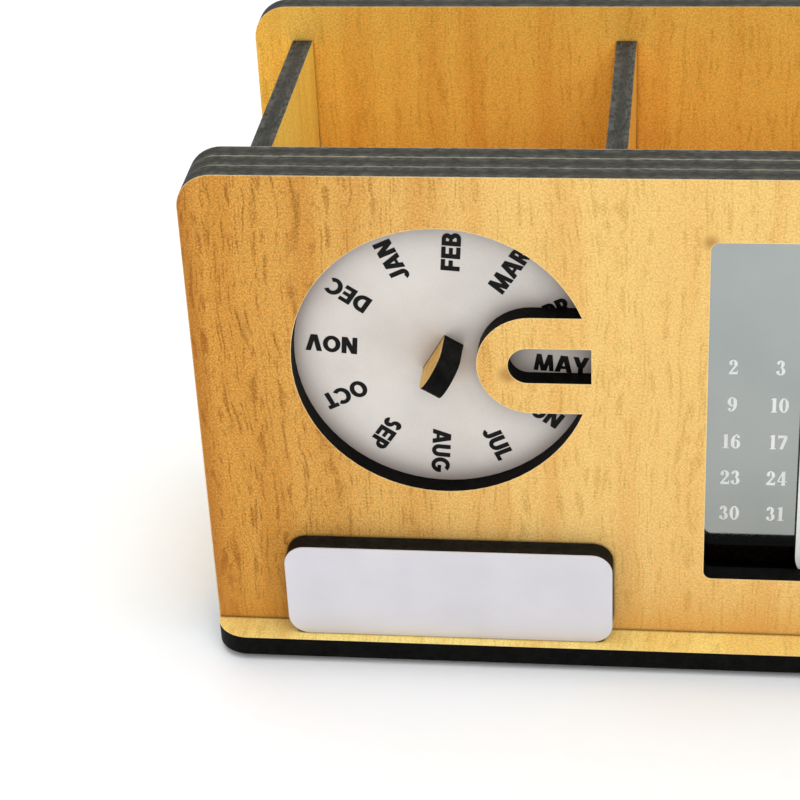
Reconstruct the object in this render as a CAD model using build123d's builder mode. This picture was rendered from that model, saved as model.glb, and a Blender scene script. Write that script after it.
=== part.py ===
from build123d import *
import math
import os

# Perpetual desk calendar with pen compartments, cut from thin veneered board.
# Millimetres. The origin is the middle of the footprint on the desk: +X runs to the
# right along the front, +Y to the back and +Z up.

# ---------------------------------------------------------------- driving dimensions
sheet = 3.0  # thickness of every board
face_sheet = 0.2  # thickness of the printed sheets
pad_height = 1.0  # foot pads under the base
pad_diameter = 9.0
pad_inset = 3.0  # free strip of base between a pad and the base's edges

front_height = 73.3  # front layers and partitions, above the base
back_height = 78.7  # back panel, above the base
compartment_depth = 37.2  # inside, front to back
base_lip = 5.0  # base sticks out in front of and behind the boards
corner_radius = 5.0  # outer corners of the base, front layers and back panel
side_inset = 9.0  # side panels stand in from the front layers' ends
back_inset = 3.3  # back panel is shorter than the front layers at each end
outer_compartment = 45.4  # inside width of the left and right compartments

dial_margin = 14.0  # panel between its left edge and the dial opening
dial_drop = 28.7  # dial centre below the top of the front layers
opening_radius = 21.0  # dial opening in the front panel
disc_cover = 2.5  # disc hidden behind the opening's rim
dial_gap = 15.7  # panel between the dial opening and the date window
tongue_radius = 7.6  # half the height of the tongue across the dial opening
tongue_reach = 8.5  # from the opening's right edge to the centre of the tongue's nose
slot_radius = 2.73  # half the height of the month slot in the tongue
slot_reach = 9.0  # from the opening's right edge to the centre of the slot's round end
slot_shy = 0.2  # the slot's square end stops this far inside the opening's edge

tab_width = 6.3  # finger tab in the middle of the dial
tab_proud = 7.6  # height of the tab above the disc's face
tab_drop = 0.6  # the tab's middle below the dial's centre, at rest
tab_angle = 59.0  # degrees of the tab's width from +X towards +Z, at rest

column_pitch = 6.55  # one day column of the number card
card_columns = 13
week_columns = 7
window_rim = 0.225  # window edge outside the outer columns
window_sill = 9.7  # panel under the date window
window_head = 9.3  # panel over the date window
window_margin = 13.7  # panel between the date window and its right edge
window_radius = 1.2
slider_lap = 2.6  # slider hidden above and below the date window
slider_side = 6.8  # side borders of the slider
slider_foot = 7.1  # bottom border of the slider
slider_brow = 13.7  # top border of the slider, which holds the weekday names
slider_radius = 4.6

name_plate_width = 47.6
name_plate_height = 15.2
name_plate_radius = 3.0

tab_length = 10.0  # joint tabs that hold the boards together
tab_spread = 100.0  # distance between the two bottom tabs of a long board

play = 0.15  # free space in front of and behind the disc and the slider
rim_play = 0.2  # free space around the disc and above and below the slider
end_play = 0.3  # free space past the slider at each end of its travel
card_play = 0.5  # free strip around the number card
slot_play = 0.05  # free space on each side of a joint tab

# ---------------------------------------------------------------- derived sizes
window_width = card_columns * column_pitch + 2 * window_rim
window_height = front_height - window_sill - window_head
width = dial_margin + 2 * opening_radius + dial_gap + window_width + window_margin
base_depth = 2 * base_lip + 4 * sheet + compartment_depth
floor_z = pad_height + sheet

front_y = base_lip - base_depth / 2
middle_y = front_y + sheet
rear_y = middle_y + sheet
bay_y = rear_y + sheet
back_y = bay_y + compartment_depth

dial_x = dial_margin + opening_radius - width / 2
dial_z = front_height - dial_drop
opening_right = dial_x + opening_radius
disc_radius = opening_radius + disc_cover
disc_thickness = sheet - 2 * play - face_sheet

window_x = width / 2 - window_margin - window_width / 2
window_z = window_sill + window_height / 2

slider_travel = (card_columns - week_columns) / 2 * column_pitch
slider_width = week_columns * column_pitch + 2 * slider_side
slider_height = window_height + 2 * slider_lap
slider_thickness = sheet - 2 * play - 2 * face_sheet
slider_pocket_width = slider_width + 2 * slider_travel + 2 * end_play
slider_pocket_height = slider_height + 2 * rim_play

disc_face_y = middle_y + play
slider_face_y = middle_y + play
card_y = rear_y - face_sheet

left_side_x = side_inset - width / 2
left_divider_x = left_side_x + sheet + outer_compartment
partition_xs = (left_side_x, left_divider_x, -left_divider_x - sheet, -left_side_x - sheet)
joint_heights = (front_height / 4, front_height * 3 / 4)
joint_depths = (compartment_depth / 4, compartment_depth * 3 / 4)
tab_slot = (tab_length + 2 * slot_play, sheet + 2 * slot_play)


# ---------------------------------------------------------------- planes and outlines
def front_view(y):
    """Plane facing the front at depth y, with its own height 0 on the base."""
    return Plane(origin=(0, y, floor_z), x_dir=(1, 0, 0), z_dir=(0, -1, 0))


def side_view(x):
    """Plane facing right at x, with its own x running back from the front layers."""
    return Plane(origin=(x, bay_y, floor_z), x_dir=(0, 1, 0), z_dir=(1, 0, 0))


def upright_outline(outline, length, height):
    """Board that stands on the base, with its top corners rounded."""
    Rectangle(length, height, align=(Align.CENTER, Align.MIN))
    fillet(outline.vertices().group_by(Axis.Y)[-1], corner_radius)


def bottom_tabs():
    """Two tabs that go down into the base."""
    with Locations((-tab_spread / 2, 0), (tab_spread / 2, 0)):
        Rectangle(tab_length, sheet, align=(Align.CENTER, Align.MAX))


def partition_slots():
    """Slots for the tabs of the side panels and dividers."""
    slots = [(x + sheet / 2, height) for x in partition_xs for height in joint_heights]
    with Locations(*slots):
        Rectangle(*tab_slot, rotation=90, mode=Mode.SUBTRACT)


def slider_outline():
    """Frame of the slider, open where a week's dates show."""
    with Locations((window_x, window_z)):
        RectangleRounded(slider_width, slider_height, slider_radius)
    bottom = window_z - slider_height / 2 + slider_foot
    opening_height = slider_height - slider_foot - slider_brow
    with Locations((window_x, bottom + opening_height / 2)):
        Rectangle(week_columns * column_pitch, opening_height, mode=Mode.SUBTRACT)


def disc_outline():
    """Dial disc with the slot that holds the finger tab."""
    with Locations((dial_x, dial_z)):
        Circle(disc_radius)
    with Locations((dial_x, dial_z - tab_drop)):
        slot = (tab_width + 2 * slot_play, sheet + 2 * slot_play)
        Rectangle(*slot, rotation=tab_angle, mode=Mode.SUBTRACT)


def name_plate_outline():
    """Blank plate, centred under the dial."""
    with Locations((dial_x, name_plate_height / 2)):
        RectangleRounded(name_plate_width, name_plate_height, name_plate_radius)


def save(piece, name):
    """Label a finished piece and write it to its own file."""
    piece.part.label = name
    export_step(piece.part, f"parts/{name}.step")


os.makedirs("parts", exist_ok=True)

# ---------------------------------------------------------------- base
with BuildPart() as base_plate:
    with BuildSketch(Plane.XY.offset(pad_height)):
        RectangleRounded(width, base_depth, corner_radius)
        bay_tabs = [(x + sheet / 2, bay_y + depth) for x in partition_xs for depth in joint_depths]
        with Locations(*bay_tabs):
            Rectangle(*tab_slot, rotation=90, mode=Mode.SUBTRACT)
        board_tabs = [(side * tab_spread / 2, y + sheet / 2) for side in (-1, 1) for y in (rear_y, back_y)]
        with Locations(*board_tabs):
            Rectangle(*tab_slot, mode=Mode.SUBTRACT)
    extrude(amount=sheet)
save(base_plate, "base_plate")


# ---------------------------------------------------------------- foot pads
def foot_pad(side, end):
    """Round pad under one corner of the base."""
    inset = pad_inset + pad_diameter / 2
    with BuildPart() as pad:
        with BuildSketch(Plane.XY):
            with Locations((side * (width / 2 - inset), end * (base_depth / 2 - inset))):
                Circle(pad_diameter / 2)
        extrude(amount=pad_height)
    return pad


for side, side_name in ((-1, "left"), (1, "right")):
    for end, end_name in ((-1, "front"), (1, "rear")):
        save(foot_pad(side, end), f"foot_pad_{end_name}_{side_name}")

# ---------------------------------------------------------------- front layers
with BuildPart() as front_panel:
    with BuildSketch(front_view(front_y)) as outline:
        upright_outline(outline, width, front_height)
        with Locations((window_x, window_z)):
            RectangleRounded(window_width, window_height, window_radius, mode=Mode.SUBTRACT)
        with Locations((dial_x, dial_z)):
            Circle(opening_radius, mode=Mode.SUBTRACT)
        with Locations((opening_right - tongue_reach, dial_z)):
            Circle(tongue_radius)
            Rectangle(tongue_reach, 2 * tongue_radius, align=(Align.MIN, Align.CENTER))
        with Locations((opening_right - slot_reach, dial_z)):
            Circle(slot_radius, mode=Mode.SUBTRACT)
            Rectangle(
                slot_reach - slot_shy,
                2 * slot_radius,
                align=(Align.MIN, Align.CENTER),
                mode=Mode.SUBTRACT,
            )
    extrude(amount=-sheet)
save(front_panel, "front_panel")

with BuildPart() as middle_layer:
    with BuildSketch(front_view(middle_y)) as outline:
        upright_outline(outline, width, front_height)
        with Locations((dial_x, dial_z)):
            Circle(disc_radius + rim_play, mode=Mode.SUBTRACT)
        with Locations((window_x, window_z)):
            Rectangle(slider_pocket_width, slider_pocket_height, mode=Mode.SUBTRACT)
    extrude(amount=-sheet)
save(middle_layer, "middle_layer")

with BuildPart() as rear_layer:
    with BuildSketch(front_view(rear_y)) as outline:
        upright_outline(outline, width, front_height)
        bottom_tabs()
        partition_slots()
    extrude(amount=-sheet)
save(rear_layer, "rear_layer")

# ---------------------------------------------------------------- number card
with BuildPart() as number_card:
    with BuildSketch(front_view(card_y)):
        with Locations((window_x, window_z)):
            Rectangle(slider_pocket_width - 2 * card_play, slider_pocket_height - 2 * card_play)
    extrude(amount=-face_sheet)
save(number_card, "number_card")

# ---------------------------------------------------------------- back panel
with BuildPart() as back_panel:
    with BuildSketch(front_view(back_y)) as outline:
        upright_outline(outline, width - 2 * back_inset, back_height)
        bottom_tabs()
        partition_slots()
    extrude(amount=-sheet)
save(back_panel, "back_panel")


# ---------------------------------------------------------------- side panels and dividers
def partition(x):
    """Upright board across the compartments, tabbed into the front, back and base."""
    with BuildPart() as board:
        with BuildSketch(side_view(x)):
            Rectangle(compartment_depth, front_height, align=(Align.MIN, Align.MIN))
            with Locations(*[(0, height) for height in joint_heights]):
                Rectangle(sheet, tab_length, align=(Align.MAX, Align.CENTER))
            with Locations(*[(compartment_depth, height) for height in joint_heights]):
                Rectangle(sheet, tab_length, align=(Align.MIN, Align.CENTER))
            with Locations(*[(depth, 0) for depth in joint_depths]):
                Rectangle(tab_length, sheet, align=(Align.CENTER, Align.MAX))
        extrude(amount=sheet)
    return board


partition_names = ("left_side", "left_divider", "right_divider", "right_side")
for x, name in zip(partition_xs, partition_names):
    save(partition(x), name)

# ---------------------------------------------------------------- month dial
with BuildPart() as month_disc:
    with BuildSketch(front_view(disc_face_y + face_sheet)):
        disc_outline()
    extrude(amount=-disc_thickness)
save(month_disc, "month_disc")

with BuildPart() as month_disc_face:
    with BuildSketch(front_view(disc_face_y)):
        disc_outline()
    extrude(amount=-face_sheet)
save(month_disc_face, "month_disc_face")

tab_turn = math.radians(tab_angle)
tab_plane = Plane(
    origin=(dial_x, disc_face_y + face_sheet + disc_thickness, floor_z + dial_z - tab_drop),
    x_dir=(math.cos(tab_turn), 0, math.sin(tab_turn)),
    z_dir=(math.sin(tab_turn), 0, -math.cos(tab_turn)),
)
with BuildPart() as dial_tab:
    with BuildSketch(tab_plane):
        nose = disc_thickness + face_sheet + tab_proud - tab_width / 2
        Rectangle(tab_width, nose, align=(Align.CENTER, Align.MIN))
        with Locations((0, nose)):
            Circle(tab_width / 2)
    extrude(amount=sheet / 2, both=True)
save(dial_tab, "dial_tab")

# ---------------------------------------------------------------- weekday slider
with BuildPart() as slider_frame:
    with BuildSketch(front_view(slider_face_y + face_sheet)):
        slider_outline()
    extrude(amount=-slider_thickness)
save(slider_frame, "slider_frame")

with BuildPart() as slider_face:
    with BuildSketch(front_view(slider_face_y)):
        slider_outline()
    extrude(amount=-face_sheet)
save(slider_face, "slider_face")

# ---------------------------------------------------------------- name plate
with BuildPart() as name_plate:
    with BuildSketch(front_view(front_y - sheet)):
        name_plate_outline()
    extrude(amount=-sheet)
save(name_plate, "name_plate")

with BuildPart() as name_plate_face:
    with BuildSketch(front_view(front_y - sheet - face_sheet)):
        name_plate_outline()
    extrude(amount=-face_sheet)
save(name_plate_face, "name_plate_face")
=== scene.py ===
import math

import bmesh
import bpy
from mathutils import Matrix, Vector


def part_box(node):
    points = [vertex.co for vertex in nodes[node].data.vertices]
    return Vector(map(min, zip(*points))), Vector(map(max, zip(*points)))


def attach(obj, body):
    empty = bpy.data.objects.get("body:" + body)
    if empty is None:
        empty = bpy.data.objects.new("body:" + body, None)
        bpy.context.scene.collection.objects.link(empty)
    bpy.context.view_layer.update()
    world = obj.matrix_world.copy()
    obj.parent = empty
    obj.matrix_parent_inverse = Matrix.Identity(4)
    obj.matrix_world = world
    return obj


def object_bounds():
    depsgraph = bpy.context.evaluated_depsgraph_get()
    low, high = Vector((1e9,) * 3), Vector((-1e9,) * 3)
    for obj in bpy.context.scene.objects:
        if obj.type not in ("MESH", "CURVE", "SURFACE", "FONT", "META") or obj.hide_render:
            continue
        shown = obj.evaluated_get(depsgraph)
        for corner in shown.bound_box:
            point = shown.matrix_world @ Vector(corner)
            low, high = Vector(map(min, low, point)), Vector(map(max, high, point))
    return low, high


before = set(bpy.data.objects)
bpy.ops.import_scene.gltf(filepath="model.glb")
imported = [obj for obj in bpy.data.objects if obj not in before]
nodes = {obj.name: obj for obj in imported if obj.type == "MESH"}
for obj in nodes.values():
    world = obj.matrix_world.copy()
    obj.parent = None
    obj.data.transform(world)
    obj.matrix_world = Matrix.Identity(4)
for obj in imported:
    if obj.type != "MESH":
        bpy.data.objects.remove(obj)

# Looks of the perpetual desk calendar. Lengths are in metres unless a name ends in _mm.
cad_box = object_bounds()
MM = 0.001
X, Y, Z = (1, 0, 0), (0, 1, 0), (0, 0, 1)

# ---------------------------------------------------------------- places taken from the frame
panel_low, panel_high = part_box("front_panel")
base_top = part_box("base_plate")[1].z  # upper face of the base
disc_low, disc_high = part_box("month_disc_face")
card_low, card_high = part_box("number_card")
slider_low, slider_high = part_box("slider_face")
dial_centre = (disc_low + disc_high) / 2
card_centre = (card_low + card_high) / 2
slider_centre = (slider_low + slider_high) / 2

# ---------------------------------------------------------------- printed matter
MONTHS = "MAY APR MAR FEB JAN DEC NOV OCT SEP AUG JUL JUN".split()
WEEKDAYS = "SUN MON TUE WED THU FRI SAT".split()
MONTH_HEIGHT = 2.62 * MM
MONTH_RADIUS = 16.1 * MM  # from the dial's centre to the middle of each name
PRINT_TURN = -4.5  # degrees that the printed dial is turned at rest
PRINT_SHIFT = Vector((0.40, 0, -0.12)) * MM  # the months are printed slightly off the dial's centre
WEEKDAY_HEIGHT = 1.9 * MM
WEEKDAY_RISE = 57.2 * MM  # middle of the weekday names above the base
NUMBER_HEIGHT = 2.35 * MM
COLUMN_PITCH = 6.55 * MM
CARD_COLUMNS = 13
FIRST_ROW_RISE = 47.8 * MM  # middle of the first row of numbers above the base
ROW_PITCH = 6.1 * MM
ROWS = 6
FIRST_DAY_COLUMN = 6  # of the first row
LAST_DAY = 31
GAP_CAPITALS = 0.065  # between letters, in units of their height
GAP_NUMERALS = 0.07
INK_PROUD = 0.03 * MM
INK_SUNK = 0.01 * MM
INK_STEP = 0.003 * MM  # each stroke of a letter stands this much prouder than the one before it
WELD = 0.0001 * MM  # points of a letter nearer than this become one

# scorch marks beside two laser cuts
SLOT_END = 9.27 * MM  # round end of the month slot, right of the dial's centre
SLOT_SCORCH_DROP = 1.4 * MM  # scorch at that end, below the dial's centre
WINDOW_WIDTH = 85.6 * MM  # date window
WINDOW_HEAD = 9.3 * MM  # panel over the date window


# ---------------------------------------------------------------- glyph strokes
# A stroke is a band between two lists of points, in units of the letter's height.
STEM = 0.265  # upright strokes of a capital
BAR = 0.225  # level strokes of a capital
LEAN = 0.285  # leaning strokes, measured level
THICK = 0.20  # upright strokes of a numeral
THIN = 0.065  # level strokes of a numeral
ARC_STEP = 12  # degrees between the points of an arc
BALL_STEP = 20  # and of a ball


def lean(x0, x1, y0=0.0, y1=1.0, w=LEAN):
    """Stroke with level ends, from x0 at height y0 to x1 at height y1."""
    return [(x0 - w / 2, y0), (x1 - w / 2, y1)], [(x0 + w / 2, y0), (x1 + w / 2, y1)], False


def stem(x, y0=0.0, y1=1.0, w=STEM):
    """Upright stroke centred on x."""
    return lean(x, x, y0, y1, w)


def bar(x0, x1, y, h=BAR):
    """Level stroke centred on height y."""
    return [(x0, y + h / 2), (x1, y + h / 2)], [(x0, y - h / 2), (x1, y - h / 2)], False


def bowl(cx, cy, rx, ry, start=0, end=360, wx=STEM, wy=BAR):
    """Elliptical band from one angle to another, in degrees, wx wide at its sides and wy at its top."""
    closed = end - start >= 360
    count = max(2, round((end - start) / ARC_STEP))
    angles = [math.radians(start + (end - start) * i / count) for i in range(count + (not closed))]
    outer = [(cx + rx * math.cos(a), cy + ry * math.sin(a)) for a in angles]
    inner = [(cx + (rx - wx) * math.cos(a), cy + (ry - wy) * math.sin(a)) for a in angles]
    return outer, inner, closed


def ball(cx, cy, r):
    """Round end of a numeral's stroke."""
    angles = [math.radians(a) for a in range(0, 181, BALL_STEP)]
    upper = [(cx + r * math.cos(a), cy + r * math.sin(a)) for a in angles]
    lower = [(cx + r * math.cos(a), cy - r * math.sin(a)) for a in angles]
    return upper, lower, False


TOP = 1 - BAR / 2
FOOT = BAR / 2
LEFT = STEM / 2
CAPITALS = {
    "A": (0.88, [lean(0.118, 0.395), lean(0.762, 0.485), bar(0.22, 0.66, 0.29, 0.17)]),
    "B": (0.76, [stem(LEFT), bar(LEFT, 0.42, TOP), bar(LEFT, 0.43, 0.525, 0.19), bar(LEFT, 0.43, FOOT),
                 bowl(0.41, 0.725, 0.31, 0.275, -90, 90), bowl(0.42, 0.295, 0.34, 0.295, -90, 90)]),
    "C": (0.82, [bowl(0.50, 0.5, 0.50, 0.51, 48, 312)]),
    "D": (0.84, [stem(LEFT), bar(LEFT, 0.34, TOP), bar(LEFT, 0.34, FOOT),
                 bowl(0.33, 0.5, 0.51, 0.5, -90, 90)]),
    "E": (0.67, [stem(LEFT), bar(LEFT, 0.67, TOP), bar(LEFT, 0.62, 0.5, 0.2), bar(LEFT, 0.67, FOOT)]),
    "F": (0.65, [stem(LEFT), bar(LEFT, 0.65, TOP), bar(LEFT, 0.60, 0.48)]),
    "G": (0.92, [bowl(0.49, 0.5, 0.49, 0.51, 48, 345), bar(0.50, 0.96, 0.43, 0.2)]),
    "H": (0.76, [stem(LEFT), stem(0.655), bar(LEFT, 0.655, 0.5)]),
    "I": (0.21, [stem(LEFT)]),
    "J": (0.60, [stem(0.4675, 0.29, 1.0), bowl(0.29, 0.30, 0.31, 0.31, 195, 360)]),
    "L": (0.58, [stem(LEFT), bar(LEFT, 0.58, FOOT)]),
    "M": (1.07, [lean(0.12, 0.235, w=0.24), lean(0.95, 0.835, w=0.24),
                 lean(0.51, 0.245, w=0.24), lean(0.56, 0.825, w=0.24)]),
    "N": (0.84, [stem(LEFT), stem(0.7075), lean(0.68, 0.16, w=0.29)]),
    "O": (0.95, [bowl(0.475, 0.5, 0.475, 0.51)]),
    "P": (0.64, [stem(LEFT), bar(LEFT, 0.34, TOP), bar(LEFT, 0.34, 0.445, 0.17),
                 bowl(0.33, 0.68, 0.31, 0.32, -90, 90, wy=0.18)]),
    "R": (0.70, [stem(LEFT), bar(LEFT, 0.34, TOP), bar(LEFT, 0.36, 0.475, 0.17),
                 bowl(0.34, 0.695, 0.30, 0.305, -90, 90, wy=0.18), lean(0.575, 0.35, 0.0, 0.45, w=0.25)]),
    "S": (0.62, [bowl(0.31, 0.7075, 0.27, 0.3025, 25, 270), bowl(0.31, 0.2925, 0.29, 0.3025, -155, 90)]),
    "T": (0.62, [bar(0.0, 0.62, TOP), stem(0.31)]),
    "U": (0.78, [stem(LEFT, 0.37, 1.0), stem(0.6475, 0.37, 1.0), bowl(0.39, 0.38, 0.39, 0.39, 180, 360)]),
    "V": (0.84, [lean(0.38, 0.118), lean(0.46, 0.722)]),
    "W": (1.16, [lean(0.30, 0.11, w=0.2), lean(0.36, 0.55, w=0.2),
                 lean(0.80, 0.61, w=0.2), lean(0.86, 1.05, w=0.2)]),
    "Y": (0.80, [stem(0.40, 0.0, 0.45), lean(0.36, 0.118, 0.38), lean(0.44, 0.682, 0.38)]),
}
SIX = [bowl(0.30, 0.31, 0.28, 0.32, 0, 360, THICK, THIN),
       bowl(0.42, 0.49, 0.40, 0.51, 85, 200, THICK, THIN), ball(0.47, 0.83, 0.09)]


def turned(strokes, width):
    """The strokes turned upside down in a cell of that width."""
    def turn(points):
        return [(width - x, 1 - y) for x, y in points]
    return [(turn(a), turn(b), closed) for a, b, closed in strokes]


NUMERALS = {
    "0": (0.58, [bowl(0.29, 0.5, 0.29, 0.51, 0, 360, THICK, THIN)]),
    "1": (0.46, [stem(0.25, w=0.21), bar(0.07, 0.43, THIN / 2, THIN), lean(0.08, 0.22, 0.86, 1.0, 0.1)]),
    "2": (0.58, [bowl(0.28, 0.70, 0.26, 0.31, -25, 160, THICK, THIN), ball(0.14, 0.73, 0.10),
                 lean(0.08, 0.42, 0.08, 0.58, 0.14), bar(0.03, 0.55, 0.085, 0.17),
                 lean(0.52, 0.54, 0.0, 0.27, 0.05)]),
    "3": (0.57, [bowl(0.26, 0.75, 0.23, 0.26, -90, 155, THICK, THIN), ball(0.12, 0.81, 0.085),
                 bowl(0.26, 0.27, 0.28, 0.28, -155, 90, THICK, THIN), ball(0.11, 0.20, 0.10)]),
    "4": (0.60, [lean(0.06, 0.37, 0.27, 1.0, 0.08), stem(0.40, w=0.2), bar(0.02, 0.59, 0.27, 0.075),
                 bar(0.26, 0.54, THIN / 2, THIN)]),
    "5": (0.57, [stem(0.12, 0.5, 0.97, 0.07), bar(0.09, 0.49, 0.91, 0.17),
                 bowl(0.27, 0.31, 0.28, 0.32, -155, 140, THICK, THIN), ball(0.12, 0.20, 0.10)]),
    "6": (0.60, SIX),
    "7": (0.56, [bar(0.04, 0.55, 0.90, 0.18), lean(0.21, 0.50, 0.0, 0.88, 0.2),
                 lean(0.06, 0.04, 0.72, 1.0, 0.05)]),
    "8": (0.58, [bowl(0.29, 0.75, 0.23, 0.26, 0, 360, 0.17, THIN),
                 bowl(0.29, 0.27, 0.28, 0.28, 0, 360, THICK, THIN)]),
    "9": (0.60, turned(SIX, 0.60)),
}


# ---------------------------------------------------------------- glyph meshes
def add_stroke(mesh, stroke, place, proud):
    """Adds one stroke to the mesh as a thin closed slab. place turns glyph units into a point."""
    side_a, side_b, closed = stroke
    rings = []
    for a, b in zip(side_a, side_b):
        corners = [place(*a, proud), place(*b, proud), place(*b, -INK_SUNK), place(*a, -INK_SUNK)]
        rings.append([mesh.verts.new(corner) for corner in corners])
    pairs = list(zip(rings, rings[1:] + rings[:1])) if closed else list(zip(rings, rings[1:]))
    for ring, following in pairs:
        for k in range(4):
            mesh.faces.new((ring[k], ring[(k + 1) % 4], following[(k + 1) % 4], following[k]))
    if not closed:
        mesh.faces.new(rings[0])
        mesh.faces.new(rings[-1])


def text_width(text, glyphs, gap):
    """Width of a text in units of its height."""
    return sum(glyphs[c][0] for c in text) + gap * (len(text) - 1)


def add_text(mesh, text, glyphs, gap, centre, right, up, height):
    """Adds a text centred on a point, facing the front."""
    cursor = -text_width(text, glyphs, gap) / 2
    for character in text:
        width, strokes = glyphs[character]
        for layer, stroke in enumerate(strokes):
            def place(x, y, proud, cursor=cursor):
                flat = centre + right * ((cursor + x) * height) + up * ((y - 0.5) * height)
                return flat + Vector((0, -proud, 0))
            add_stroke(mesh, stroke, place, INK_PROUD + layer * INK_STEP)
        cursor += width + gap


def text_piece(name, body, material, texts):
    """One piece that holds several texts: (text, glyphs, gap, centre, right, up, height)."""
    mesh = bmesh.new()
    for text in texts:
        add_text(mesh, *text)
    bmesh.ops.remove_doubles(mesh, verts=mesh.verts, dist=WELD)
    bmesh.ops.dissolve_degenerate(mesh, edges=mesh.edges, dist=WELD)
    bmesh.ops.recalc_face_normals(mesh, faces=mesh.faces)
    data = bpy.data.meshes.new(name)
    mesh.to_mesh(data)
    mesh.free()
    piece = bpy.data.objects.new(name, data)
    bpy.context.scene.collection.objects.link(piece)
    data.materials.append(material)
    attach(piece, body)


# ---------------------------------------------------------------- material nodes
def linear(*rgb):
    """Linear colour with alpha from display values of 0 to 255."""
    channels = [c / 255 for c in rgb]
    return (*[c / 12.92 if c <= 0.04045 else ((c + 0.055) / 1.055) ** 2.4 for c in channels], 1.0)


class Graph:
    """The nodes of one material."""

    def __init__(self, name):
        self.material = bpy.data.materials.new(name)
        self.material.use_nodes = True
        self.tree = self.material.node_tree
        self.tree.nodes.clear()
        self.coordinates = self.tree.nodes.new("ShaderNodeTexCoord")

    def node(self, kind, **settings):
        made = self.tree.nodes.new(kind)
        for key, value in settings.items():
            setattr(made, key, value)
        return made

    def put(self, socket, value):
        if isinstance(value, bpy.types.NodeSocket):
            self.tree.links.new(value, socket)
        else:
            socket.default_value = value

    def math(self, operation, a, b=0.0, clamp=False):
        made = self.node("ShaderNodeMath", operation=operation, use_clamp=clamp)
        self.put(made.inputs[0], a)
        self.put(made.inputs[1], b)
        return made.outputs[0]

    def dot(self, vector, direction):
        made = self.node("ShaderNodeVectorMath", operation="DOT_PRODUCT")
        self.put(made.inputs[0], vector)
        made.inputs[1].default_value = direction
        return made.outputs["Value"]

    def place(self, origin=(0, 0, 0)):
        """Position from an origin, in millimetres."""
        shift = self.node("ShaderNodeVectorMath", operation="SUBTRACT")
        self.put(shift.inputs[0], self.coordinates.outputs["Object"])
        shift.inputs[1].default_value = origin
        scale = self.node("ShaderNodeVectorMath", operation="SCALE")
        self.put(scale.inputs[0], shift.outputs[0])
        scale.inputs["Scale"].default_value = 1 / MM
        return scale.outputs[0]

    def combine(self, x, y, z):
        made = self.node("ShaderNodeCombineXYZ")
        for socket, value in zip(made.inputs, (x, y, z)):
            self.put(socket, value)
        return made.outputs[0]

    def stretch(self, across, across_scale, along, along_scale, third):
        """Coordinates for a noise that is stretched along the grain."""
        x = self.math("MULTIPLY", across, across_scale)
        y = self.math("MULTIPLY", along, along_scale)
        return self.combine(x, y, third)

    def noise(self, vector, scale=1.0, detail=2.0, roughness=0.5):
        made = self.node("ShaderNodeTexNoise")
        self.put(made.inputs["Vector"], vector)
        made.inputs["Scale"].default_value = scale
        made.inputs["Detail"].default_value = detail
        made.inputs["Roughness"].default_value = roughness
        return made.outputs["Fac"]

    def band(self, value, low, high, out_low=0.0, out_high=1.0):
        """Smooth step of a value between two limits."""
        made = self.node("ShaderNodeMapRange", interpolation_type="SMOOTHSTEP")
        self.put(made.inputs["Value"], value)
        limits = {"From Min": low, "From Max": high, "To Min": out_low, "To Max": out_high}
        for key, number in limits.items():
            made.inputs[key].default_value = number
        return made.outputs["Result"]

    def mix(self, a, b, share, kind="MIX"):
        """Colour between a and b, or a multiplied by b."""
        made = self.node("ShaderNodeMix", data_type="RGBA", blend_type=kind)
        factor, first, second = made.inputs[0], made.inputs[6], made.inputs[7]
        self.put(factor, share)
        self.put(first, a)
        self.put(second, b)
        return made.outputs[2]

    def blend(self, a, b, share):
        """Number between a and b."""
        rest = self.math("MULTIPLY", a, self.math("SUBTRACT", 1.0, share))
        return self.math("ADD", self.math("MULTIPLY", b, share), rest)

    def bump(self, height, distance_mm, strength):
        made = self.node("ShaderNodeBump")
        self.put(made.inputs["Height"], height)
        made.inputs["Strength"].default_value = strength
        made.inputs["Distance"].default_value = distance_mm * MM
        return made.outputs[0]

    def surface(self, colour, roughness, normal=None, **settings):
        shader = self.node("ShaderNodeBsdfPrincipled")
        self.put(shader.inputs["Base Color"], colour)
        self.put(shader.inputs["Roughness"], roughness)
        if normal is not None:
            self.put(shader.inputs["Normal"], normal)
        for key, value in settings.items():
            shader.inputs[key.replace("_", " ")].default_value = value
        out = self.node("ShaderNodeOutputMaterial")
        self.tree.links.new(shader.outputs[0], out.inputs["Surface"])
        return self.material


# ---------------------------------------------------------------- board material
VENEER_PALE, VENEER_WARM = linear(242, 201, 122), linear(214, 154, 70)
VENEER_DEEP = linear(166, 98, 36)  # along the front panel's left edge
BAND_PALE, BAND_WARM = linear(231, 176, 99), linear(200, 136, 54)
STREAK_PALE, STREAK_WARM = linear(196, 146, 66), linear(148, 90, 30)
# painted highlight along cuts, and painted contact shade where boards meet
EDGE_HIGHLIGHT, CONTACT_SHADE = linear(255, 236, 186), linear(84, 56, 20)
EDGE_HIGHLIGHT_REACH = 0.30 * MM  # painted highlight: a pale rim along a cut
CONTACT_SHADE_REACH = 0.7 * MM  # painted contact shade between boards
SCORCH_FADE_MM = 1.6  # width of a scorch's soft rim
DUSTED_LIT_START_MM, DUSTED_LIT_FULL_MM = 5.5, 3.0  # below a board's top, where the dusting and painted light begin and are whole
RAW_DARK, RAW_LIGHT = linear(52, 38, 26), linear(82, 60, 40)  # faces without veneer
CHAR_BLACK, CHAR_SOOT = linear(5, 5, 5), linear(17, 17, 15)
# dusted grey with painted light, for cut edges that face up near a board's top
DUSTED_LIT_CHAR, DUSTED_LIT_CHAR_PALE = linear(52, 52, 48), linear(90, 89, 82)
CORE_LINE = linear(176, 170, 150)  # the veneer's own edge, seen along a cut


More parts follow.
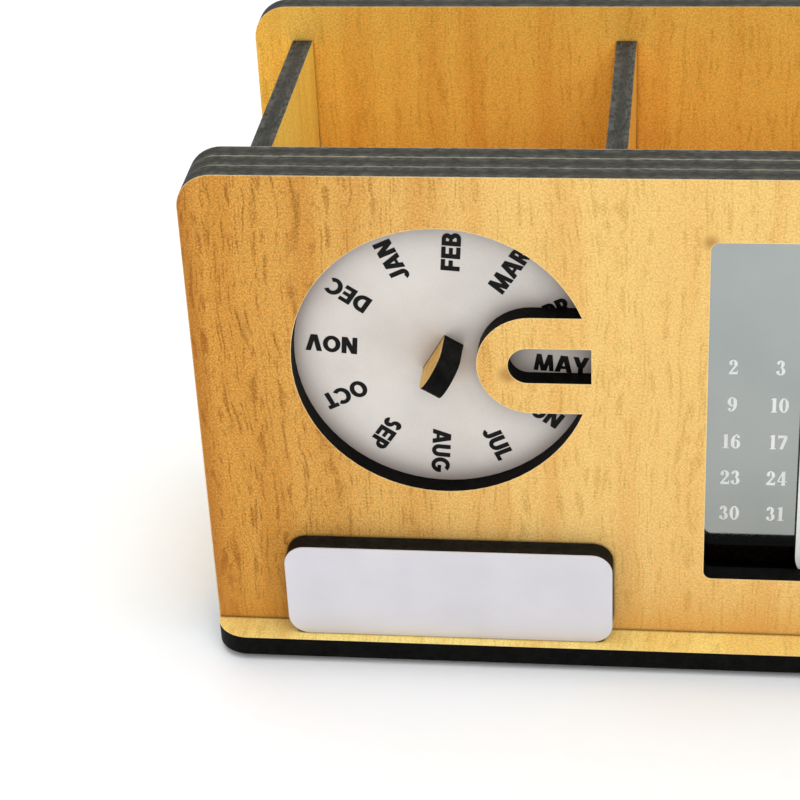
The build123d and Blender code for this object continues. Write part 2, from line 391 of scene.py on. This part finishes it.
def veneer(g, across, along, seed, tone, figure):
    """Colour and relief of beech-look veneer.

    tone runs from 0, pale, to 1, warm. figure is how clearly the growth lines show.
    """
    drift = g.noise(g.stretch(across, 0.05, along, 0.018, seed))
    sway = g.noise(g.stretch(across, 0.25, along, 0.14, seed + 3))
    u = g.math("ADD", across, g.math("ADD", g.math("MULTIPLY", drift, 6.0), g.math("MULTIPLY", sway, 1.5)))

    bands = g.noise(g.stretch(u, 0.21, along, 0.010, seed + 7), detail=1.5)
    colour = g.mix(g.mix(VENEER_PALE, VENEER_WARM, tone), g.mix(BAND_PALE, BAND_WARM, tone),
                   g.band(bands, 0.38, 0.78, 0.0, 0.85))

    # growth lines: level lines of a stretched noise, broken into short dashes
    rings = g.noise(g.stretch(u, 0.36, along, 0.012, seed + 11), detail=1.0)
    ring = g.math("FRACT", g.math("MULTIPLY", rings, 7.0))
    line = g.band(g.math("ABSOLUTE", g.math("SUBTRACT", ring, 0.5)), 0.0, 0.34, 1.0, 0.0)
    dash = g.noise(g.stretch(u, 0.8, along, 0.24, seed + 17), roughness=0.6)
    streaks = g.math("MULTIPLY", line, g.band(dash, 0.44, 0.60))
    flecks = g.band(g.noise(g.stretch(u, 1.7, along, 0.42, seed + 19)), 0.57, 0.74)
    mottle = g.noise(g.stretch(across, 3.8, along, 3.2, seed + 23), roughness=0.7)
    marks = g.math("MAXIMUM", streaks, g.math("MULTIPLY", flecks, 0.7))
    marks = g.math("MULTIPLY", marks, g.band(mottle, 0.25, 0.65, 1.25, 0.65))
    depth = g.math("MULTIPLY", marks, g.math("MULTIPLY", g.blend(0.44, 0.80, tone), figure), clamp=True)
    colour = g.mix(colour, g.mix(STREAK_PALE, STREAK_WARM, tone), depth)

    spread = g.blend(0.17, 0.30, tone)
    gain = g.math("ADD", 1.0, g.math("MULTIPLY", spread, g.band(mottle, 0.28, 0.72, -1.0, 1.0)))
    colour = g.mix(colour, g.combine(gain, gain, gain), 1.0, "MULTIPLY")
    return colour, g.math("SUBTRACT", mottle, g.math("MULTIPLY", marks, 0.6)), mottle


def cut_edge(g, across, along, through, dusty_and_lit, half, core_line):
    """Colour and relief of a laser-cut edge: soot-black, and dusted grey with painted light where it lies
    open on top.
    """
    ridges = g.noise(g.stretch(across, 4.5, along, 4.5, g.math("MULTIPLY", through, 0.5)),
                     detail=3.0, roughness=0.6)
    soot = g.noise(g.combine(across, along, through), scale=0.6, detail=3.0)
    smear = g.noise(g.stretch(across, 0.9, along, 0.9, g.math("MULTIPLY", through, 3.2)),
                    detail=4.0, roughness=0.65)
    patches = g.math("ADD", g.math("MULTIPLY", smear, 0.65), g.math("MULTIPLY", soot, 0.35))
    wear = g.band(patches, 0.38, 0.64)
    core = g.band(g.math("ABSOLUTE", through), 0.1, half - 0.4)
    # dusted grey with painted light, paler in the middle of the edge
    dust_and_light = g.mix(DUSTED_LIT_CHAR, DUSTED_LIT_CHAR_PALE, g.math("MULTIPLY", wear, g.blend(0.35, 1.0, core)))
    char = g.mix(g.mix(CHAR_BLACK, CHAR_SOOT, wear), dust_and_light, dusty_and_lit)
    line = g.math("MULTIPLY", g.band(g.math("ABSOLUTE", through), half - 0.22, half - 0.12), dusty_and_lit)
    line = g.math("MULTIPLY", line, g.band(soot, 0.3, 0.7, 0.25 * core_line, core_line))
    return g.mix(char, CORE_LINE, line), ridges


def board_material(node, thin, grain, seed, tones=(0.1, 0.1), tone_run=1.0, dark_run=0.0, foot_shade_run=0.0,
                   tint=(1, 1, 1), figure=1.0, veneered=(True, True), dust_and_light=1.0, core_line=0.12, contact_shade=0.9,
                   scorches=()):
    """Veneer on the faces that thin points out of, and a laser-cut edge all round.

    tones are the veneer's warmth at the board's low side and past tone_run millimetres,
    dark_run is how far a darker band reaches in from that side, foot_shade_run is how far a
    warmer zone of painted shade reaches up from the board's foot, core_line is how clearly
    the veneer's own edge shows along a dusted, lit cut, dust is how much dusting and painted
    light the cut edges that face up near the board's top get, and seam is how dark the
    painted contact shade in the seams to other boards is.
    """
    g = Graph(f"board_{node}")
    low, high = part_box(node)
    centre = (low + high) / 2
    half_size = (high - low) / 2 / MM
    thin, grain = Vector(thin), Vector(grain)
    side = thin.cross(grain)
    mm = g.place(centre)
    across, along, through = (g.dot(mm, direction) for direction in (side, grain, thin))
    half = half_size.dot(Vector([abs(c) for c in thin]))
    half_across = half_size.dot(Vector([abs(c) for c in side]))
    half_along = half_size.dot(Vector([abs(c) for c in grain]))

    tone = g.band(g.math("ADD", across, half_across), 0.0, tone_run, *tones)
    colour, relief, mottle = veneer(g, across, along, seed, tone, figure)
    if dark_run:
        depth = g.math("ADD", g.math("ADD", across, half_across), g.math("MULTIPLY", relief, 2.0))
        colour = g.mix(colour, VENEER_DEEP, g.band(depth, 0.8, dark_run, 0.58, 0.0))
    if foot_shade_run:
        # painted shade: the veneer is warmer and darker towards the board's foot, by the base
        rise = g.math("ADD", g.math("ADD", along, half_along), g.math("MULTIPLY", relief, 4.0))
        colour = g.mix(colour, VENEER_WARM, g.band(rise, 1.0, foot_shade_run, 0.42, 0.0))
    colour = g.mix(colour, (*tint, 1.0), 1.0, "MULTIPLY")
    for point, radius in scorches:
        distance = g.node("ShaderNodeVectorMath", operation="DISTANCE")
        g.put(distance.inputs[0], mm)
        distance.inputs[1].default_value = (point - centre) / MM
        patch = g.math("SUBTRACT", distance.outputs["Value"], g.math("MULTIPLY", mottle, 1.8))
        colour = g.mix(colour, STREAK_WARM, g.band(patch, radius - SCORCH_FADE_MM, radius, 0.55, 0.0))

    # painted highlight, a pale rim, where the veneer meets a cut; painted contact shade where it meets
    # another board
    bevel = g.node("ShaderNodeBevel", samples=4)
    bevel.inputs["Radius"].default_value = EDGE_HIGHLIGHT_REACH
    geometry = g.node("ShaderNodeNewGeometry")
    tilt = g.node("ShaderNodeVectorMath", operation="DOT_PRODUCT")
    g.put(tilt.inputs[0], bevel.outputs[0])
    g.put(tilt.inputs[1], geometry.outputs["Normal"])
    corner = g.node("ShaderNodeAmbientOcclusion", samples=6)
    corner.inputs["Distance"].default_value = CONTACT_SHADE_REACH
    openness = corner.outputs["AO"]
    turned_away = g.band(tilt.outputs["Value"], 0.84, 0.97, 1.0, 0.0)
    # painted highlight: the veneer is paler where its face turns away to a cut
    rim = g.math("MULTIPLY", turned_away, g.band(openness, 0.80, 0.97))
    colour = g.mix(colour, EDGE_HIGHLIGHT, g.math("MULTIPLY", rim, 0.75))
    # painted contact shade in the concave junctions between boards
    colour = g.mix(colour, CONTACT_SHADE, g.band(openness, 0.52, 0.78, contact_shade, 0.0))

    facing = g.dot(g.coordinates.outputs["Normal"], thin)
    low_face, high_face = g.band(facing, -0.95, -0.80, 1.0, 0.0), g.band(facing, 0.80, 0.95)
    fibres = g.noise(g.stretch(across, 1.4, along, 1.4, seed + 29), detail=4.0, roughness=0.7)
    raw = g.mix(RAW_DARK, RAW_LIGHT, g.band(fibres, 0.35, 0.70))
    bare = g.math("ADD", g.math("MULTIPLY", low_face, float(not veneered[0])),
                  g.math("MULTIPLY", high_face, float(not veneered[1])))
    colour = g.mix(colour, raw, bare)
    on_face = g.math("ADD", low_face, high_face)
    # dusting and painted light on cut edges that face up near the board's top
    rise = g.dot(g.coordinates.outputs["Normal"], Z)
    near_top = g.band(g.dot(mm, Z), half_size.z - DUSTED_LIT_START_MM, half_size.z - DUSTED_LIT_FULL_MM)
    dusty_and_lit = g.math("MULTIPLY", g.band(rise, 0.25, 0.95, 0.0, dust_and_light), near_top)
    char, ridges = cut_edge(g, across, along, through, dusty_and_lit, half, core_line)
    colour = g.mix(char, colour, on_face)
    height = g.blend(g.math("MULTIPLY", ridges, 2.0), relief, on_face)
    rough = g.blend(0.55, g.band(mottle, 0.2, 0.8, 0.46, 0.62), on_face)
    return g.surface(colour, rough, g.bump(height, 0.03, 0.6), Specular_IOR_Level=0.05)


def paint(node, material):
    """Gives a CAD node's whole surface one material."""
    slots = nodes[node].data.materials
    for index in range(len(slots)):
        slots[index] = material


TAB_ANGLE = math.radians(59.0)  # of the finger tab's width from +X towards +Z, at rest
tab_thin = (math.sin(TAB_ANGLE), 0, -math.cos(TAB_ANGLE))
slot_end = Vector((dial_centre.x + SLOT_END, panel_low.y, dial_centre.z - SLOT_SCORCH_DROP))
window_corner = Vector((card_centre.x - WINDOW_WIDTH / 2, panel_low.y, panel_high.z - WINDOW_HEAD))
BOUNCE_TINT = (1.05, 0.99, 0.56)  # the inner boards are tinted more orange than the front's veneer: painted bounce light inside the compartments
LIT_SIDE_TINT = (1.10, 1.26, 0.74)  # and the left side board is tinted paler: painted light on its inner face, lit from the right
INNER = dict(tint=BOUNCE_TINT, figure=0.85, contact_shade=0.5)
BOARDS = {
    "front_panel": dict(thin=Y, grain=Z, seed=1.0, tones=(1.0, 0.0), tone_run=60.0, dark_run=4.5,
                        foot_shade_run=13.0, veneered=(True, False), core_line=0.35,
                        scorches=((slot_end, 1.1), (window_corner, 0.8))),
    "middle_layer": dict(thin=Y, grain=Z, seed=2.3, veneered=(False, False), core_line=0.5),
    "rear_layer": dict(thin=Y, grain=Z, seed=3.7, veneered=(False, True), core_line=0.75, **INNER),
    "back_panel": dict(thin=Y, grain=Z, seed=5.1, tones=(0.15, 0.15), **INNER),
    "left_side": dict(thin=X, grain=Z, seed=6.4, tones=(0.0, 0.0), tint=LIT_SIDE_TINT, figure=0.7,
                      contact_shade=0.5),
    "left_divider": dict(thin=X, grain=Z, seed=7.9, **INNER),
    "right_divider": dict(thin=X, grain=Z, seed=9.2, **INNER),
    "right_side": dict(thin=X, grain=Z, seed=10.6, **INNER),
    # the base plate's tint is painted light: its up-facing veneer is made paler and yellower than the
    # front's
    "base_plate": dict(thin=Z, grain=Y, seed=12.1, tones=(0.0, 0.0), tint=(1.08, 1.28, 1.25), figure=0.8,
                       veneered=(False, True), dust_and_light=0.0),
    "month_disc": dict(thin=Y, grain=Z, seed=13.5, veneered=(False, False), dust_and_light=0.0),
    "slider_frame": dict(thin=Y, grain=Z, seed=14.8, veneered=(False, False), dust_and_light=0.0),
    "name_plate": dict(thin=Y, grain=Z, seed=16.2, veneered=(False, False), dust_and_light=0.15),
    "dial_tab": dict(thin=tab_thin, grain=(0, -1, 0), seed=17.7, dust_and_light=0.1),
}
for node, looks in BOARDS.items():
    paint(node, board_material(node, **looks))


# ---------------------------------------------------------------- sheets, film, ink and foam
RIM_SHADE_TONE = linear(150, 132, 122)  # painted shade on the dial, beside the rim of its opening
RIM_SHADE_REACH = 5.0 * MM
FILM_DARK, FILM_LIGHT = (0.320, 0.345, 0.335, 1), (0.355, 0.375, 0.366, 1)
FILM_FLECK = (0.315, 0.325, 0.315, 1)
FOAM_DARK, FOAM_LIGHT = linear(14, 14, 14), linear(44, 43, 42)


def print_material(name, colour, shade, rim_shade=0.0):
    """Satin printed sheet: faint clouding, fine tooth, and painted shade where it runs under a rim."""
    g = Graph(name)
    mm = g.place()
    cloud = g.noise(mm, scale=0.09, detail=3.0)
    tooth = g.noise(mm, scale=5.0, detail=2.0)
    uneven = g.math("ADD", cloud, g.math("MULTIPLY", tooth, 0.35))
    tint = g.mix(colour, shade, g.band(uneven, 0.45, 0.95))
    if rim_shade:
        # painted shade: the sheet is darker where the opening's rim hangs close over it
        nook = g.node("ShaderNodeAmbientOcclusion", samples=6)
        nook.inputs["Distance"].default_value = RIM_SHADE_REACH
        tint = g.mix(tint, RIM_SHADE_TONE, g.band(nook.outputs["AO"], 0.35, 0.97, rim_shade, 0.0))
    rough = g.band(tooth, 0.3, 0.7, 0.34, 0.46)
    return g.surface(tint, rough, g.bump(tooth, 0.01, 0.5))


def film_material(name):
    """Grey mirror film, faintly uneven."""
    g = Graph(name)
    mm = g.place()
    cloud = g.noise(mm, scale=0.06, detail=3.0)
    grain = g.noise(mm, scale=3.0, detail=2.0)
    tint = g.mix(FILM_DARK, FILM_LIGHT, g.band(cloud, 0.3, 0.7))
    tint = g.mix(tint, FILM_FLECK, g.band(grain, 0.6, 0.85, 0.0, 0.35))
    rough = g.band(grain, 0.2, 0.8, 0.04, 0.09)
    return g.surface(tint, rough, g.bump(cloud, 0.02, 0.2), Metallic=1.0)


def ink_material(name, colour, worn):
    """Printed ink with a slightly uneven lay."""
    g = Graph(name)
    mm = g.place()
    lay = g.noise(mm, scale=2.2, detail=3.0)
    rough = g.band(lay, 0.3, 0.7, 0.34, 0.55)
    return g.surface(g.mix(colour, worn, g.band(lay, 0.55, 0.85, 0.0, 0.6)), rough, Specular_IOR_Level=0.15)


def foam_material(name):
    """Matt black foam with open cells."""
    g = Graph(name)
    mm = g.place()
    cells = g.node("ShaderNodeTexVoronoi", feature="F1")
    g.put(cells.inputs["Vector"], mm)
    cells.inputs["Scale"].default_value = 3.0
    depth = cells.outputs["Distance"]
    tint = g.mix(FOAM_DARK, FOAM_LIGHT, g.band(depth, 0.1, 0.6))
    return g.surface(tint, 0.92, g.bump(depth, 0.1, 0.7))


dial_white = print_material("dial_print", linear(225, 219, 212), linear(211, 204, 197), rim_shade=0.75)
slider_white = print_material("slider_print", linear(232, 234, 228), linear(220, 224, 216))
plate_white = print_material("plate_print", linear(222, 220, 226), linear(212, 210, 217))
paint("month_disc_face", dial_white)
paint("slider_face", slider_white)
paint("name_plate_face", plate_white)
paint("number_card", film_material("card_film"))
foam = foam_material("pad_foam")
for end in ("front", "rear"):
    for side in ("left", "right"):
        paint(f"foot_pad_{end}_{side}", foam)

black_ink = ink_material("black_ink", linear(5, 5, 6), linear(18, 18, 20))
white_ink = ink_material("white_ink", linear(246, 247, 246), linear(226, 230, 228))

# ---------------------------------------------------------------- lettering
AXIS_X, AXIS_Z = Vector(X), Vector(Z)

month_texts = []
for k, month in enumerate(MONTHS):
    angle = math.radians(360 / len(MONTHS) * k + PRINT_TURN)
    outward = Vector((math.cos(angle), 0, math.sin(angle)))
    upward = Vector((-math.sin(angle), 0, math.cos(angle)))
    spot = Vector((dial_centre.x, disc_low.y, dial_centre.z)) + PRINT_SHIFT + outward * MONTH_RADIUS
    month_texts.append((month, CAPITALS, GAP_CAPITALS, spot, outward, upward, MONTH_HEIGHT))
text_piece("month_names", "dial", black_ink, month_texts)

weekday_texts = []
for k, day in enumerate(WEEKDAYS):
    x = slider_centre.x + (k - (len(WEEKDAYS) - 1) / 2) * COLUMN_PITCH
    spot = Vector((x, slider_low.y, base_top + WEEKDAY_RISE))
    weekday_texts.append((day, CAPITALS, GAP_CAPITALS, spot, AXIS_X, AXIS_Z, WEEKDAY_HEIGHT))
text_piece("weekday_names", "slider", black_ink, weekday_texts)

number_texts = []
for row in range(ROWS):
    for column in range(CARD_COLUMNS):
        day = len(WEEKDAYS) * row + column - FIRST_DAY_COLUMN + 1
        if 1 <= day <= LAST_DAY:
            x = card_centre.x + (column - (CARD_COLUMNS - 1) / 2) * COLUMN_PITCH
            spot = Vector((x, card_low.y, base_top + FIRST_ROW_RISE - row * ROW_PITCH))
            number_texts.append((str(day), NUMERALS, GAP_NUMERALS, spot, AXIS_X, AXIS_Z, NUMBER_HEIGHT))
text_piece("day_numbers", "housing", white_ink, number_texts)

# ---------------------------------------------------------------- floor
FLOOR_SIZE = 6.0
FLOOR_DARK, FLOOR_LIGHT = (0.945, 0.96, 0.975, 1), (0.965, 0.98, 0.99, 1)
floor_mesh = bmesh.new()
bmesh.ops.create_grid(floor_mesh, x_segments=8, y_segments=8, size=FLOOR_SIZE / 2)
floor_data = bpy.data.meshes.new("floor")
floor_mesh.to_mesh(floor_data)
floor_mesh.free()
floor = bpy.data.objects.new("floor", floor_data)
bpy.context.scene.collection.objects.link(floor)
floor.location = (0, 0, cad_box[0].z)
g = Graph("floor_white")
speck = g.noise(g.place(), scale=0.4, detail=2.0)
floor_data.materials.append(g.surface(g.mix(FLOOR_DARK, FLOOR_LIGHT, speck), 0.7))

# ---------------------------------------------------------------- light
LIGHT_AIM = Vector((0.0, 0.0, 0.04))
world = bpy.data.worlds.new("studio")
bpy.context.scene.world = world
world.use_nodes = True
background = world.node_tree.nodes["Background"]
background.inputs["Color"].default_value = (1.0, 1.0, 1.0, 1.0)
background.inputs["Strength"].default_value = 0.40


def area_light(name, place, size, power):
    """Square soft box, turned to the object."""
    data = bpy.data.lights.new(name, "AREA")
    data.shape = "SQUARE"
    data.size = size
    data.energy = power
    lamp = bpy.data.objects.new(name, data)
    lamp.location = place
    lamp.rotation_euler = (LIGHT_AIM - Vector(place)).to_track_quat("-Z", "Y").to_euler()
    bpy.context.scene.collection.objects.link(lamp)


area_light("overhead", (-0.05, 0.32, 0.88), 1.1, 6.3)
area_light("front", (0.05, -0.72, 0.62), 0.7, 3.0)
area_light("side", (0.45, -0.20, 0.90), 0.8, 2.9)

# ---------------------------------------------------------------- camera
# The eye is placed from the front panel's lower left front corner.
EYE = Vector((69.992, -276.73, 207.896)) * MM
PITCH_DOWN = math.radians(31.166)
YAW_RIGHT = math.radians(-8.418)
ROLL = math.radians(-3.161)
LENS_MM = 105.108

forward = Vector((math.sin(YAW_RIGHT) * math.cos(PITCH_DOWN), math.cos(YAW_RIGHT) * math.cos(PITCH_DOWN),
                  -math.sin(PITCH_DOWN)))
level = Vector((math.cos(YAW_RIGHT), -math.sin(YAW_RIGHT), 0))
over = level.cross(forward)
image_right = level * math.cos(ROLL) + over * math.sin(ROLL)
image_up = over * math.cos(ROLL) - level * math.sin(ROLL)
camera_data = bpy.data.cameras.new("camera")
camera_data.lens = LENS_MM
camera_data.sensor_width = 36.0
camera_data.clip_start = 0.01
camera = bpy.data.objects.new("camera", camera_data)
turn = Matrix((image_right, image_up, -forward)).transposed()
camera.matrix_world = Matrix.Translation(panel_low + EYE) @ turn.to_4x4()
bpy.context.scene.collection.objects.link(camera)
bpy.context.scene.camera = camera
bpy.context.scene.view_settings.view_transform = "Standard"
